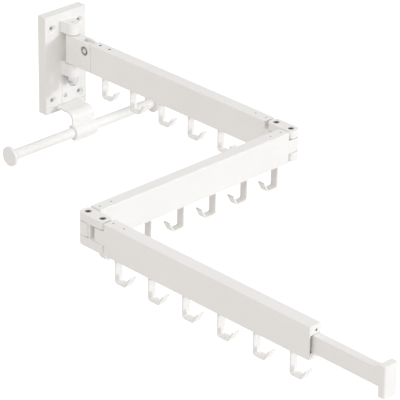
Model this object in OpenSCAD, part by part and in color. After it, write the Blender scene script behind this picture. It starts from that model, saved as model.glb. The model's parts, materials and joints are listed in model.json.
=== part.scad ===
// Wall-mounted clothes rail with three folding arms, strip hooks, a sliding extension and a towel rod.
// The wall is the plane y = 0 and the rail reaches out along -Y, with +Z up and sizes in millimetres.
// The origin is the centre of the four wall screws, on the back of the wall bracket.

/* [Wall bracket] */
// Width of the wall plate
plate_w = 66; // [62:1:90]
// Height of the wall plate
plate_h = 130; // [126:1:180]
// Depth of the wall plate from the wall to its front face
plate_depth = 14.5; // [13:0.5:16]
// Thickness of the cast walls of the plate
plate_wall = 3; // [2.5:0.25:3.5]
// Width of the bevel round the front face
bevel_w = 4.5; // [2:0.5:6]
// Depth of the bevel round the front face
bevel_depth = 1; // [0.5:0.25:2]
// Distance of the wall screws from the sides of the plate
screw_side = 11; // [10:0.5:12]
// Distance of the wall screws from the ends of the plate
screw_end = 17; // [16:0.5:19]
// Diameter of the wall screw holes
screw_hole_d = 5; // [4:0.5:6]
// Diameter of the countersinks round the wall screw holes
screw_sink_d = 11; // [9:0.5:12]
// Height of the arms' axis above the middle of the plate
arm_height = 21; // [18:0.5:24]
// Width of the two ears
ear_w = 17.4; // [15:0.2:20]
// Height of the upper ear
ear_top_h = 14.5; // [12:0.5:18]
// Height of the lower ear
ear_bottom_h = 16.5; // [13:0.5:20]
// Width of the raised strip below the lower ear
strip_rise_w = 16; // [12:0.5:18]
// Height of the raised strip over the front face
strip_rise = 1.25; // [0.75:0.25:1.5]

/* [Swivel] */
// Distance of the swivel axis from the wall
axis_out = 26.4; // [25.6:0.2:32]
// Diameter of the pivot bolt
pivot_d = 8; // [6:0.5:9]
// Width across the flats of the pivot bolt's domed head
dome_flats = 13; // [12:0.5:15]
// Height of the hexagon under the dome
dome_hex_h = 7; // [5:0.5:9]
// Thickness of the washer under the domed head
dome_washer_t = 1.5; // [1:0.25:2]
// Height of the swivel block
block_h = 37; // [35:0.5:37.5]
// Reach of the swivel block behind its axis
block_rear = 4.9; // [4.5:0.1:6]
// Radius of the swivel block's rear corners
block_corner = 3; // [1.5:0.5:4]
// Thickness of the washers above and below the swivel block
swivel_washer_t = 1.2; // [0.8:0.1:2]
// Distance between the swivel axis and the pitch bolt
fork_reach = 30.2; // [28:0.2:36]
// Height of the pitch bolt above the arms' axis
pitch_rise = 7.1; // [6:0.1:8]
// Diameter of the pitch bolt
pitch_d = 6; // [5:0.5:6.5]
// Diameter of the pitch bolt's head
pitch_head_d = 11; // [10:0.5:12]
// Width across the flats of the nut on the pitch bolt
pitch_nut_flats = 9.5; // [8.5:0.5:10]
// Depth of the round recesses for the pitch bolt's head and nut
pitch_recess = 2.2; // [1.6:0.2:2.6]
// Thickness of the tongue in the fork
tongue_t = 7; // [6:0.5:8]
// Radius of the tongue round the pitch bolt
tongue_r = 9; // [7.5:0.5:9.5]
// Length of the collar between the fork and the first tube
collar_len = 5; // [4:0.5:8]

/* [Arms] */
// Height of the arm tubes
tube_h = 38; // [37.5:0.5:42]
// Width of the arm tubes
tube_w = 16; // [15.5:0.5:18]
// Wall thickness of the arm tubes
tube_wall = 1.2; // [0.8:0.1:1.6]
// Radius of the tubes' outer corners
tube_corner = 1.2; // [0.8:0.1:2]
// Length of the first arm's tube
arm_1_tube = 291; // [285:1:420]
// Length of the second arm's tube
arm_2_tube = 284; // [278:1:290]
// Length of the third arm's tube
arm_3_tube = 295; // [290:1:420]
// Distance from a tube's end to its elbow pin
pin_setback = 11.5; // [11.5:0.25:14]
// Length of the inserts' plugs in the tubes
plug_len = 26; // [24:1:32]
// Diameter of the two screws on top of the first arm's root
root_screw_d = 3.6; // [3:0.2:4.4]
// Diameter of the pins that hold the elbow inserts
insert_pin_d = 2.4; // [2:0.1:3]
// Length of the screws and pins in the inserts
insert_pin_len = 9; // [6:0.5:12]

/* [Elbows] */
// Distance between the two pins of an elbow
pin_gap = 23; // [22.5:0.5:30]
// Thickness of a link's top plate
link_top_t = 9.5; // [8:0.5:11]
// Thickness of a link's bottom plate
link_bottom_t = 11; // [9:0.5:12]
// Radius of the corners of links and knuckles
link_corner = 6; // [3.5:0.25:7]
// Thickness of the web between the knuckles
web_t = 2.4; // [1.6:0.1:2.6]
// Diameter of the elbow pins
elbow_pin_d = 5; // [4:0.5:5.5]
// Diameter of the elbow pins' heads
elbow_head_d = 7.2; // [6.8:0.1:8]
// Depth of the elbow pins' heads
elbow_head_h = 4; // [3:0.5:5]
// Width across the flats of the elbow nuts
elbow_nut_flats = 8; // [7.5:0.5:9]
// Height of the elbow nuts
elbow_nut_h = 4; // [3:0.5:5]
// Diameter of the thin washers at the pins
thin_washer_d = 12; // [10:0.5:13]
// Thickness of the thin washers at the pins
thin_washer_t = 0.6; // [0.4:0.1:0.8]

/* [Hooks] */
// Number of hooks on each arm
hook_count = 6; // [1:1:6]
// Distance between the hooks on the first arm
hook_pitch_1 = 50.2; // [30:0.1:50.6]
// Distance between the hooks on the second arm
hook_pitch_2 = 48.9; // [30:0.1:50]
// Distance between the hooks on the third arm
hook_pitch_3 = 51.1; // [30:0.1:51.4]
// Distance of the first hook from its tube's end
hook_first = 12; // [11:0.5:14]
// Width of the hook strip
hook_w = 10; // [8:0.5:11]
// Thickness of the hook strip
hook_t = 2; // [1.5:0.25:2.5]
// Depth of the hooks below the tube
hook_drop = 28; // [22:1:40]
// Length of the hooks' flat bottom
hook_flat = 16.4; // [14:0.2:24]
// Length of the hooks' raised lip
hook_lip = 13.5; // [10:0.5:16]
// Angle of the raised lip above level
lip_angle = 61; // [45:1:80]
// Inner radius of the hooks' bends
hook_bend = 2; // [1:0.25:3]
// Length of the hooks' foot inside the tube
foot_len = 8; // [5:0.5:9]

/* [Extension] */
// Width of the extension bar
bar_w = 9.4; // [8:0.1:10]
// Height of the extension bar
bar_h = 19.6; // [18:0.2:21]
// Depth of the bar's axis below the tube's axis
bar_drop = 1.8; // [0:0.2:2]
// Gap between the bar and the near side of the tube
bar_side_gap = 0.5; // [0.4:0.1:1]
// Wall thickness of the extension bar
bar_wall = 1.5; // [1:0.25:2]
// Length of the extension bar
bar_len = 190; // [160:1:220]
// Length of bar that shows between the tube's end cap and the end plate
bar_out = 90.2; // [60:0.2:110]
// Thickness of the end plate
end_plate_t = 8; // [5:0.5:12]
// Width of the end plate
end_plate_w = 18.4; // [16:0.2:20]
// Height of the end plate
end_plate_h = 36; // [32:0.5:40]
// Length of the hollow curve from the bar up to the end plate
flare_len = 14; // [12:0.5:18]
// Thickness of the end cap's flange on the third arm
cap_t = 0.8; // [0.6:0.1:2]
// Length of the end cap's sleeve in the tube
cap_sleeve = 14; // [10:1:22]
// Gap above and below the bar in the end cap
bar_gap = 0.4; // [0.3:0.1:0.8]
// Length of the slider at the bar's inner end
slider_len = 22; // [16:1:30]
// Diameter of the screw in the end cap's face
cap_screw_d = 3; // [2.4:0.2:3.4]

/* [Towel rod] */
// Outer diameter of the towel rod
rod_d = 13; // [11:0.5:15]
// Wall thickness of the towel rod
rod_wall = 1.2; // [1:0.1:2]
// Length of the towel rod with its end caps
rod_len = 240; // [160:1:360]
// Diameter of the rod's end caps
rod_cap_d = 25; // [20:0.5:30]
// Thickness of the rod's end caps
rod_cap_t = 4; // [3:0.5:6]
// Distance of the rod's axis from the wall
rod_out = 44.5; // [40:0.5:55]
// Depth of the rod's axis below the lower edge of the plate
rod_below = 17.7; // [16:0.1:30]
// Width of the rod holder
holder_w = 35; // [26:1:40]
// Thickness of the rod holder
holder_t = 3; // [2:0.25:3]
// Height of the holder's top face above the lower edge of the plate
holder_up = 8.7; // [7:0.1:9.5]
// Outer radius of the holder's bend
holder_bend = 10; // [8:0.5:12]
// Width of the holder's tab behind the plate
tab_w = 18; // [14:1:20]
// Height of the holder's tab behind the plate
tab_h = 19; // [18:1:22]
// Diameter of the screw that holds the holder
holder_screw_d = 3; // [2.5:0.25:3.5]
// Height of the holder's screw above the holder's top face
holder_screw_up = 11.3; // [10:0.1:12.5]
// Distance of the holder's screw from the middle of the plate
holder_screw_side = 3.5; // [0:0.5:5]

/* [Hidden] */
$fn = 64;
WHITE = "whitesmoke";
GREY = "gainsboro";
STEEL = "silver";
DARK = "dimgray";
HOOKS = [for (arm = [1:3]) [for (k = [1:hook_count]) str("arm_", arm, "_hook_", k)]];
// Clearances: a pin in its bore, a plug in its tube, faces that turn, and a stop at rest
pin_fit = 0.05;
plug_fit = 0.1;
face_gap = 0.1;
stop_gap = 0.3;
swing_gap = 0.5;
web_gap = 0.4;
// A cut reaches this far past the face that it opens
over = 1;
// Wall screws, rod holder and rod, from the edges of the plate
screw_gap_x = plate_w - 2 * screw_side;
screw_gap_z = plate_h - 2 * screw_end;
holder_down = plate_h / 2 - holder_up;
rod_down = plate_h / 2 + rod_below;
// Heights at the swivel
block_top = arm_height + block_h / 2;
block_bottom = arm_height - block_h / 2;
ear_top_z = block_top + swivel_washer_t + face_gap;
ear_bottom_z = block_bottom - swivel_washer_t - face_gap;
pivot_grip_share = 0.66;
pivot_grip = ear_top_h * pivot_grip_share;
vent_d = 3;
dome_inset = 0.3;
dome_washer_rim = 1.25;
swivel_washer_inset = 0.5;
// The fork's nose is round about the pitch bolt, so that the collar passes it as the arm folds up
pitch_y = -axis_out - fork_reach;
pitch_z = arm_height + pitch_rise;
nose_r = block_h / 2 - pitch_rise;
slot_w = tongue_t + 2 * thin_washer_t + 2 * face_gap;
pitch_head_inset = 0.2;
pitch_nut_inset = 0.4;
recess_gap = 0.5;
// Sockets of the screws, as a share of the shaft
screw_socket = 0.5;
pin_socket = 0.8;
pitch_socket = 0.66;
// Places along the arms
collar_y = pitch_y - nose_r - stop_gap;
tube_1_y = collar_y - collar_len;
pin_a_y = tube_1_y - arm_1_tube - pin_setback;
pin_b_y = pin_a_y - pin_gap;
pin_c_x = -arm_2_tube - 2 * pin_setback;
pin_d_y = pin_b_y - pin_gap;
// The knuckles turn between the plates of a link, and the web stands clear of the inner knuckle's corners
least_corner = 0.4;
flange_t = 0.7;
knuckle_reach = link_corner + (tube_w / 2 - link_corner) * sqrt(2);
web_from = knuckle_reach + web_gap;
knuckle_low = -tube_h / 2 + link_bottom_t + thin_washer_t + face_gap;
knuckle_high = tube_h / 2 - link_top_t - thin_washer_t - face_gap;
root_screw_x = [4, 20.5];
insert_pin_x = [16.5, 33];
head_sink = 0.6;
nut_wall = 1;
// Hook strip and the slots and channels that it needs
slot_gap = 0.15;
channel_gap = 0.3;
foot_gap = 1;
hook_r = hook_bend + hook_t;
hook_low = -tube_h / 2 - hook_drop;
lip_tangent = hook_r * tan(lip_angle / 2);
channel_w = hook_w + 2 * channel_gap;
channel_h = hook_t + 2 * channel_gap;
// Extension, measured along the third arm from its tube's start
plate_x = arm_3_tube + cap_t + bar_out;
window_gap = 0.2;
bar_side = tube_w / 2 - tube_wall - bar_w / 2 - bar_side_gap;
window_w = bar_w + 2 * (bar_side + window_gap);
window_h = bar_h + 2 * bar_gap;
flare_rise = (end_plate_h - bar_h) / 2;
flare_r = (flare_len * flare_len + flare_rise * flare_rise) / (2 * flare_rise);
slider_h = tube_h - 2 * tube_wall - 2 * (hook_t + foot_gap);
cap_screw_low = 1;
cap_screw_z = (bar_h / 2 - bar_drop + tube_h / 2) / 2 - cap_screw_low;
cap_screw_len = 9;
// Rod clip
clip_r = rod_d / 2 + pin_fit * 2;
clip_from = 141;
clip_to = -103;
clip_lip_at = -72;
clip_lip = 2.4;
clip_lip_t = 1.6;
holder_screw_z = holder_screw_up - holder_down;
holder_screw_len = 9;
holder_head_h = 1.2;
holder_head_d = 2 * holder_screw_d;
holder_head_top_d = 1.6 * holder_screw_d;
groove_w = 0.6;
rod_cap_stub = 10;
boss_wall = 1;
rib_t = 2.5;

// Flat outlines
module rounded_outline(l, w, r) {
    square([l - 2 * r, w], center = true);
    square([l, w - 2 * r], center = true);
    for (x = [-1, 1], y = [-1, 1])
        translate([x * (l / 2 - r), y * (w / 2 - r)])
            circle(r);
}

module tube_outline(inset = 0) {
    rounded_outline(tube_w - 2 * inset, tube_h - 2 * inset, max(tube_corner - inset, least_corner));
}

module wedge(r, from, to) {
    middle = (from + to) / 2;
    polygon([
        [0, 0],
        r * [cos(from), sin(from)],
        2 * r * [cos(middle), sin(middle)],
        r * [cos(to), sin(to)]
    ]);
}

module bend(r_in, r_out, from, to) {
    intersection() {
        difference() {
            circle(r_out);
            circle(r_in);
        }
        wedge(2 * r_out, from, to);
    }
}

// Ways to stand an outline up
module along_x(len) {
    rotate([90, 0, 90])
        linear_extrude(len)
            children();
}

module across_wall(len) {
    rotate([90, 0, -90])
        linear_extrude(len, center = true)
            children();
}

// Places: an arm's local X runs along its tube, away from the wall
module at_arm_1() {
    translate([0, tube_1_y, arm_height])
        rotate([0, 0, -90])
            children();
}

module at_arm_2() {
    translate([-pin_setback, pin_b_y, arm_height])
        rotate([0, 0, 180])
            children();
}

module at_arm_3() {
    translate([pin_c_x, pin_d_y - pin_setback, arm_height])
        rotate([0, 0, -90])
            children();
}

module at_bar() {
    at_arm_3()
        translate([0, bar_side, -bar_drop])
            children();
}

module at_elbow_1() {
    translate([0, pin_a_y, arm_height])
        rotate([0, 0, -90])
            children();
}

module at_elbow_2() {
    translate([pin_c_x, pin_b_y, arm_height])
        rotate([0, 0, -90])
            children();
}

// An insert's local X runs from its elbow pin into its tube
module at_arm_1_end() {
    at_elbow_1()
        mirror([1, 0, 0])
            children();
}

module at_arm_2_root() {
    at_arm_2()
        translate([-pin_setback, 0, 0])
            children();
}

module at_arm_2_end() {
    at_elbow_2()
        rotate([0, 0, 90])
            children();
}

module at_arm_3_root() {
    at_arm_3()
        translate([-pin_setback, 0, 0])
            children();
}

// Small hardware
module ring(d, bore, t) {
    difference() {
        cylinder(d = d, h = t);
        translate([0, 0, -over])
            cylinder(d = bore, h = t + 2 * over);
    }
}

module hexagon(flats, h) {
    cylinder(d = flats / cos(30), h = h, $fn = 6);
}

module socket_screw(d, len) {
    difference() {
        translate([0, 0, -len])
            cylinder(d = d, h = len);
        translate([0, 0, -d / 2])
            hexagon(d * screw_socket, d);
    }
}

// Wall bracket
module bevelled_block() {
    edge = plate_depth - bevel_depth;
    intersection() {
        linear_extrude(plate_h, center = true)
            polygon([
                [-plate_w / 2, 0],
                [-plate_w / 2, -edge],
                [-plate_w / 2 + bevel_w, -plate_depth],
                [plate_w / 2 - bevel_w, -plate_depth],
                [plate_w / 2, -edge],
                [plate_w / 2, 0]
            ]);
        across_wall(plate_w)
            polygon([
                [0, -plate_h / 2],
                [edge, -plate_h / 2],
                [plate_depth, -plate_h / 2 + bevel_w],
                [plate_depth, plate_h / 2 - bevel_w],
                [edge, plate_h / 2],
                [0, plate_h / 2]
            ]);
    }
}

module at_wall_screws() {
    for (x = [-1, 1], z = [-1, 1])
        translate([x * screw_gap_x / 2, 0, z * screw_gap_z / 2])
            rotate([90, 0, 0])
                children();
}

module at_holder_screw() {
    translate([-holder_screw_side, 0, holder_screw_z])
        rotate([90, 0, 0])
            children();
}

module hollow_back() {
    pocket_depth = plate_depth - plate_wall;
    difference() {
        translate([-plate_w / 2 + plate_wall, -pocket_depth, -plate_h / 2 + plate_wall])
            cube([plate_w - 2 * plate_wall, pocket_depth + over, plate_h - 2 * plate_wall]);
        at_wall_screws()
            translate([0, 0, -2 * over])
                cylinder(d = screw_sink_d + 2 * boss_wall, h = pocket_depth + 4 * over);
        for (x = [-1, 1])
            translate([x * ear_w / 2 - rib_t / 2, -plate_depth, ear_bottom_z - ear_bottom_h])
                cube([rib_t, plate_depth - over, plate_h]);
        for (z = [ear_top_z + ear_top_h / 2, ear_bottom_z - ear_bottom_h / 2])
            translate([-plate_w / 2, -plate_depth, z - rib_t / 2])
                cube([plate_w, plate_depth - over, rib_t]);
    }
}

module ear(z, h) {
    translate([0, -axis_out, z])
        cylinder(d = ear_w, h = h);
    translate([-ear_w / 2, -axis_out, z])
        cube([ear_w, axis_out - plate_depth + over, h]);
}

module wall_bracket() {
    strip_top = ear_bottom_z - over;
    strip_low = -holder_down + stop_gap;
    color(WHITE)
        difference() {
            union() {
                difference() {
                    bevelled_block();
                    hollow_back();
                }
                ear(ear_top_z, ear_top_h);
                ear(ear_bottom_z - ear_bottom_h, ear_bottom_h);
                translate([-strip_rise_w / 2, -plate_depth - strip_rise, strip_low])
                    cube([strip_rise_w, strip_rise + over, strip_top - strip_low]);
            }
            at_wall_screws() {
                translate([0, 0, -over])
                    cylinder(d = screw_hole_d, h = plate_depth + 2 * over);
                translate([0, 0, plate_depth - (screw_sink_d - screw_hole_d) / 2])
                    cylinder(d1 = screw_hole_d, d2 = screw_sink_d, h = (screw_sink_d - screw_hole_d) / 2);
            }
            translate([0, -axis_out, ear_bottom_z - ear_bottom_h - over])
                cylinder(d = pivot_d + 2 * pin_fit, h = ear_bottom_h + 2 * over);
            translate([0, -axis_out, ear_top_z - over])
                cylinder(d = pivot_d + 2 * pin_fit, h = pivot_grip + stop_gap + over);
            translate([0, -axis_out, ear_top_z])
                cylinder(d = vent_d, h = ear_top_h + over);
            translate([-plate_w / 2 + bevel_w, -plate_depth - over, -holder_down - groove_w / 2])
                cube([plate_w - 2 * bevel_w, over + groove_w, groove_w]);
            translate([-holder_w / 2 - slot_gap, -plate_depth - over, -holder_down - holder_t - slot_gap])
                cube([holder_w + 2 * slot_gap, plate_wall + 2 * over, holder_t + 2 * slot_gap]);
            at_holder_screw()
                cylinder(d = holder_screw_d + 2 * pin_fit, h = plate_depth + strip_rise + over);
        }
}

module pivot_bolt() {
    head_z = ear_bottom_z - ear_bottom_h - dome_washer_t;
    dome_r = dome_flats / 2 - dome_inset;
    color(STEEL)
        translate([0, -axis_out, head_z]) {
            cylinder(d = pivot_d, h = ear_top_z + pivot_grip - head_z);
            translate([0, 0, -dome_hex_h])
                hexagon(dome_flats, dome_hex_h);
            difference() {
                translate([0, 0, -dome_hex_h])
                    sphere(dome_r);
                translate([-dome_flats, -dome_flats, -dome_hex_h])
                    cube(2 * dome_flats);
            }
        }
}

module pivot_washer() {
    color(STEEL)
        translate([0, -axis_out, ear_bottom_z - ear_bottom_h - dome_washer_t])
            ring(dome_flats + 2 * dome_washer_rim, pivot_d + 2 * pin_fit, dome_washer_t);
}

module swivel_washers() {
    color(GREY)
        for (z = [block_top + face_gap, ear_bottom_z])
            translate([0, -axis_out, z])
                ring(ear_w - 2 * swivel_washer_inset, pivot_d + 2 * pin_fit, swivel_washer_t);
}

// Rod holder
module holder_profile() {
    u = rod_out + holder_t / 2 - holder_bend;
    inner = plate_depth - plate_wall - holder_t;
    translate([inner, -holder_down - holder_t])
        square([u - inner, holder_t]);
    translate([u, -holder_down - holder_bend])
        bend(holder_bend - holder_t, holder_bend, 0, 90);
    translate([rod_out - holder_t / 2, -rod_down + clip_r + holder_t / 2])
        square([holder_t, rod_down - holder_down - holder_bend - clip_r - holder_t / 2]);
    translate([rod_out, -rod_down]) {
        difference() {
            circle(clip_r + holder_t);
            circle(clip_r);
            wedge(3 * rod_d, clip_from, clip_to + 360);
        }
        rotate(clip_lip_at)
            translate([clip_r + holder_t / 2, -clip_lip_t / 2])
                square([holder_t / 2 + clip_lip, clip_lip_t]);
    }
}

module rod_holder() {
    tab_u = plate_depth - plate_wall - holder_t;
    color(WHITE)
        difference() {
            union() {
                across_wall(holder_w)
                    holder_profile();
                across_wall(tab_w)
                    translate([tab_u, -holder_down - holder_t])
                        square([holder_t, tab_h]);
            }
            at_holder_screw()
                cylinder(d = holder_screw_d + 2 * pin_fit, h = plate_depth);
        }
}

module holder_screw() {
    color(STEEL)
        at_holder_screw()
            translate([0, 0, plate_depth + strip_rise]) {
                translate([0, 0, -holder_screw_len])
                    cylinder(d = holder_screw_d, h = holder_screw_len);
                difference() {
                    cylinder(d1 = holder_head_d, d2 = holder_head_top_d, h = holder_head_h);
                    translate([0, 0, holder_head_h / 3])
                        hexagon(holder_screw_d * screw_socket, holder_head_h);
                }
            }
}

// Swivel
module block_plan() {
    front = pitch_y - nose_r;
    rear = -axis_out + block_rear;
    translate([-tube_w / 2, front])
        square([tube_w, rear - block_corner - front]);
    translate([-tube_w / 2 + block_corner, front])
        square([tube_w - 2 * block_corner, rear - front]);
    for (x = [-1, 1])
        translate([x * (tube_w / 2 - block_corner), rear - block_corner])
            circle(block_corner);
}

module swivel_block() {
    slot_floor = pitch_z - tongue_r - swing_gap;
    slot_rear = pitch_y + tongue_r + swing_gap;
    color(WHITE)
        difference() {
            translate([0, 0, block_bottom])
                linear_extrude(block_h)
                    block_plan();
            translate([-slot_w / 2, pitch_y - 2 * nose_r, slot_floor])
                cube([slot_w, slot_rear - pitch_y + 2 * nose_r, block_h]);
            across_wall(2 * tube_w)
                difference() {
                    translate([-pitch_y, pitch_z])
                        square(2 * nose_r);
                    translate([-pitch_y, pitch_z])
                        circle(nose_r);
                }
            translate([0, -axis_out, block_bottom - over])
                cylinder(d = pivot_d + 2 * pin_fit, h = block_h + 2 * over);
            translate([0, pitch_y, pitch_z])
                rotate([0, 90, 0]) {
                    cylinder(d = pitch_d + 2 * pin_fit, h = 2 * tube_w, center = true);
                    for (x = [-1, 1])
                        translate([0, 0, x * tube_w / 2])
                            cylinder(d = pitch_head_d + 2 * recess_gap, h = 2 * pitch_recess, center = true);
                }
        }
}

module at_pitch_bolt() {
    translate([0, pitch_y, pitch_z])
        rotate([0, 90, 0])
            children();
}

module pitch_bolt() {
    seat = tube_w / 2 - pitch_recess;
    color(STEEL)
        at_pitch_bolt() {
            translate([0, 0, -tube_w / 2 + pitch_head_inset])
                cylinder(d = pitch_d, h = tube_w / 2 - pitch_head_inset + seat);
            translate([0, 0, seat])
                difference() {
                    cylinder(d = pitch_head_d, h = pitch_recess - pitch_head_inset);
                    translate([0, 0, pitch_recess / 3])
                        hexagon(pitch_d * pitch_socket, pitch_recess);
                }
        }
}

module pitch_nut() {
    color(DARK)
        at_pitch_bolt()
            translate([0, 0, -tube_w / 2 + pitch_nut_inset])
                difference() {
                    hexagon(pitch_nut_flats, pitch_recess - pitch_nut_inset);
                    translate([0, 0, -over])
                        cylinder(d = pitch_d + 2 * pin_fit, h = pitch_recess + 2 * over);
                }
}

module pitch_washers() {
    color(GREY)
        at_pitch_bolt()
            for (x = [-slot_w / 2, slot_w / 2 - thin_washer_t])
                translate([0, 0, x])
                    ring(thin_washer_d, pitch_d + 2 * pin_fit, thin_washer_t);
}

// Inserts and tubes
module plug(len) {
    along_x(len)
        difference() {
            tube_outline(tube_wall + plug_fit);
            translate([-channel_w / 2, -tube_h / 2])
                square([channel_w, tube_wall + channel_h]);
        }
}

module elbow_insert() {
    difference() {
        union() {
            translate([0, 0, knuckle_low])
                linear_extrude(knuckle_high - knuckle_low) {
                    rounded_outline(tube_w, tube_w, link_corner);
                    translate([0, -tube_w / 2])
                        square([pin_setback - flange_t / 2, tube_w]);
                }
            translate([pin_setback - flange_t, 0, 0])
                along_x(flange_t)
                    tube_outline();
            translate([pin_setback, 0, 0])
                plug(plug_len);
        }
        translate([0, 0, -tube_h])
            cylinder(d = elbow_pin_d + 2 * pin_fit, h = 2 * tube_h);
        for (x = insert_pin_x)
            translate([x, 0, tube_h / 2 - insert_pin_len])
                cylinder(d = insert_pin_d + 2 * pin_fit, h = insert_pin_len + over);
    }
}

module insert_pins() {
    for (x = insert_pin_x)
        translate([x, 0, tube_h / 2])
            socket_screw(insert_pin_d, insert_pin_len - stop_gap);
}

module arm_1_end_insert() {
    color(WHITE)
        at_arm_1_end()
            elbow_insert();
}

module arm_1_end_pins() {
    color(STEEL)
        at_arm_1_end()
            insert_pins();
}

module arm_2_root_insert() {
    color(WHITE)
        at_arm_2_root()
            elbow_insert();
}

module arm_2_root_pins() {
    color(STEEL)
        at_arm_2_root()
            insert_pins();
}

module arm_2_end_insert() {
    color(WHITE)
        at_arm_2_end()
            elbow_insert();
}

module arm_2_end_pins() {
    color(STEEL)
        at_arm_2_end()
            insert_pins();
}

module arm_3_root_insert() {
    color(WHITE)
        at_arm_3_root()
            elbow_insert();
}

module arm_3_root_pins() {
    color(STEEL)
        at_arm_3_root()
            insert_pins();
}

module arm_tube(len, pitch, root_x, root_d, end_x) {
    color(WHITE)
        difference() {
            along_x(len)
                difference() {
                    tube_outline();
                    tube_outline(tube_wall);
                }
            for (k = [0:hook_count - 1])
                translate([hook_first + k * pitch - slot_gap, -hook_w / 2 - slot_gap, -tube_h / 2 - over])
                    cube([hook_t + 2 * slot_gap, hook_w + 2 * slot_gap, tube_wall + 2 * over]);
            for (x = root_x)
                translate([x, 0, tube_h / 2 - tube_wall - over])
                    cylinder(d = root_d + 2 * pin_fit, h = tube_wall + 2 * over);
            for (x = end_x)
                translate([len - x, 0, tube_h / 2 - tube_wall - over])
                    cylinder(d = insert_pin_d + 2 * pin_fit, h = tube_wall + 2 * over);
        }
}

function pin_places() = [for (x = insert_pin_x) x - pin_setback];

module arm_1_tube_body() {
    at_arm_1()
        arm_tube(arm_1_tube, hook_pitch_1, root_screw_x, root_screw_d, pin_places());
}

module arm_2_tube_body() {
    at_arm_2()
        arm_tube(arm_2_tube, hook_pitch_2, pin_places(), insert_pin_d, pin_places());
}

module arm_3_tube_body() {
    at_arm_3()
        arm_tube(arm_3_tube, hook_pitch_3, pin_places(), insert_pin_d, []);
}

module arm_1_root_fork() {
    drop = pitch_rise;
    reach = tube_1_y - pitch_y;
    color(WHITE)
        at_arm_1()
            difference() {
                union() {
                    translate([reach, 0, drop])
                        rotate([90, 0, 0])
                            cylinder(r = tongue_r, h = tongue_t, center = true);
                    translate([reach, -tongue_t / 2, drop - tongue_r])
                        cube([-reach - collar_len / 2, tongue_t, 2 * tongue_r]);
                    translate([-collar_len, 0, 0])
                        along_x(collar_len)
                            tube_outline();
                    plug(plug_len);
                }
                translate([reach, 0, drop])
                    rotate([90, 0, 0])
                        cylinder(d = pitch_d + 2 * pin_fit, h = 2 * tube_w, center = true);
                for (x = root_screw_x)
                    translate([x, 0, tube_h / 2 - insert_pin_len])
                        cylinder(d = root_screw_d + 2 * pin_fit, h = insert_pin_len + over);
            }
}

module arm_1_root_screws() {
    color(DARK)
        at_arm_1()
            for (x = root_screw_x)
                translate([x, 0, tube_h / 2])
                    socket_screw(root_screw_d, insert_pin_len - stop_gap);
}

// Elbow links
module link_outline() {
    translate([pin_gap / 2, 0])
        rounded_outline(pin_gap + tube_w, tube_w, link_corner);
}

module elbow_link() {
    inside = tube_h - link_top_t - link_bottom_t;
    difference() {
        union() {
            translate([0, 0, tube_h / 2 - link_top_t])
                linear_extrude(link_top_t)
                    link_outline();
            translate([0, 0, -tube_h / 2])
                linear_extrude(link_bottom_t)
                    link_outline();
            translate([web_from, -tube_w / 2, -tube_h / 2 + link_bottom_t - over])
                cube([web_t, tube_w, inside + 2 * over]);
        }
        for (x = [0, pin_gap])
            translate([x, 0, 0]) {
                translate([0, 0, -tube_h])
                    cylinder(d = elbow_pin_d + 2 * pin_fit, h = 2 * tube_h);
                translate([0, 0, tube_h / 2 - elbow_head_h - head_sink])
                    cylinder(d = elbow_head_d + 4 * pin_fit, h = tube_h);
                translate([0, 0, -tube_h / 2 - over])
                    hexagon(elbow_nut_flats + 4 * pin_fit, elbow_nut_h + nut_wall + over);
            }
    }
}

module elbow_pins() {
    top = tube_h / 2 - head_sink;
    low = -tube_h / 2 + nut_wall / 2;
    for (x = [0, pin_gap])
        translate([x, 0, 0])
            difference() {
                union() {
                    translate([0, 0, low])
                        cylinder(d = elbow_pin_d, h = top - low);
                    translate([0, 0, top - elbow_head_h])
                        cylinder(d = elbow_head_d, h = elbow_head_h);
                }
                translate([0, 0, top - elbow_head_h / 2])
                    hexagon(elbow_pin_d * pin_socket, elbow_head_h);
            }
}

module elbow_nuts() {
    for (x = [0, pin_gap])
        translate([x, 0, -tube_h / 2 + nut_wall])
            difference() {
                hexagon(elbow_nut_flats, elbow_nut_h);
                translate([0, 0, -over])
                    cylinder(d = elbow_pin_d + 2 * pin_fit, h = elbow_nut_h + 2 * over);
            }
}

module elbow_washers() {
    for (x = [0, pin_gap], z = [knuckle_low - face_gap - thin_washer_t, knuckle_high + face_gap])
        translate([x, 0, z])
            ring(thin_washer_d, elbow_pin_d + 2 * pin_fit, thin_washer_t);
}

module elbow_1_link() {
    color(WHITE)
        at_elbow_1()
            elbow_link();
}

module elbow_1_pins() {
    color(DARK)
        at_elbow_1()
            elbow_pins();
}

module elbow_1_nuts() {
    color(STEEL)
        at_elbow_1()
            elbow_nuts();
}

module elbow_1_washers() {
    color(GREY)
        at_elbow_1()
            elbow_washers();
}

module elbow_2_link() {
    color(WHITE)
        at_elbow_2()
            elbow_link();
}

module elbow_2_pins() {
    color(DARK)
        at_elbow_2()
            elbow_pins();
}

module elbow_2_nuts() {
    color(STEEL)
        at_elbow_2()
            elbow_nuts();
}

module elbow_2_washers() {
    color(GREY)
        at_elbow_2()
            elbow_washers();
}

// Hooks
function arc(centre, r, from, to, steps = 8) = [
    for (i = [0:steps])
        let (a = from + (to - from) * i / steps)
            centre + r * [cos(a), sin(a)]
];

module hook_profile() {
    seat = -tube_h / 2 + tube_wall;
    stem_bend = [hook_r, hook_low + hook_r];
    lip_bend = [hook_flat - lip_tangent, hook_low + hook_r];
    along_lip = (hook_lip - lip_tangent) * [cos(lip_angle), sin(lip_angle)];
    polygon(concat(
        [[-foot_len, seat]],
        [[0, seat]],
        arc(stem_bend, hook_r, 180, 270),
        arc(lip_bend, hook_r, 270, 270 + lip_angle),
        [lip_bend + hook_r * [sin(lip_angle), -cos(lip_angle)] + along_lip],
        [lip_bend + hook_bend * [sin(lip_angle), -cos(lip_angle)] + along_lip],
        arc(lip_bend, hook_bend, 270 + lip_angle, 270),
        arc(stem_bend, hook_bend, 270, 180),
        arc([0, seat], hook_t, 0, 90),
        [[-foot_len, seat + hook_t]]
    ));
}

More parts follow.
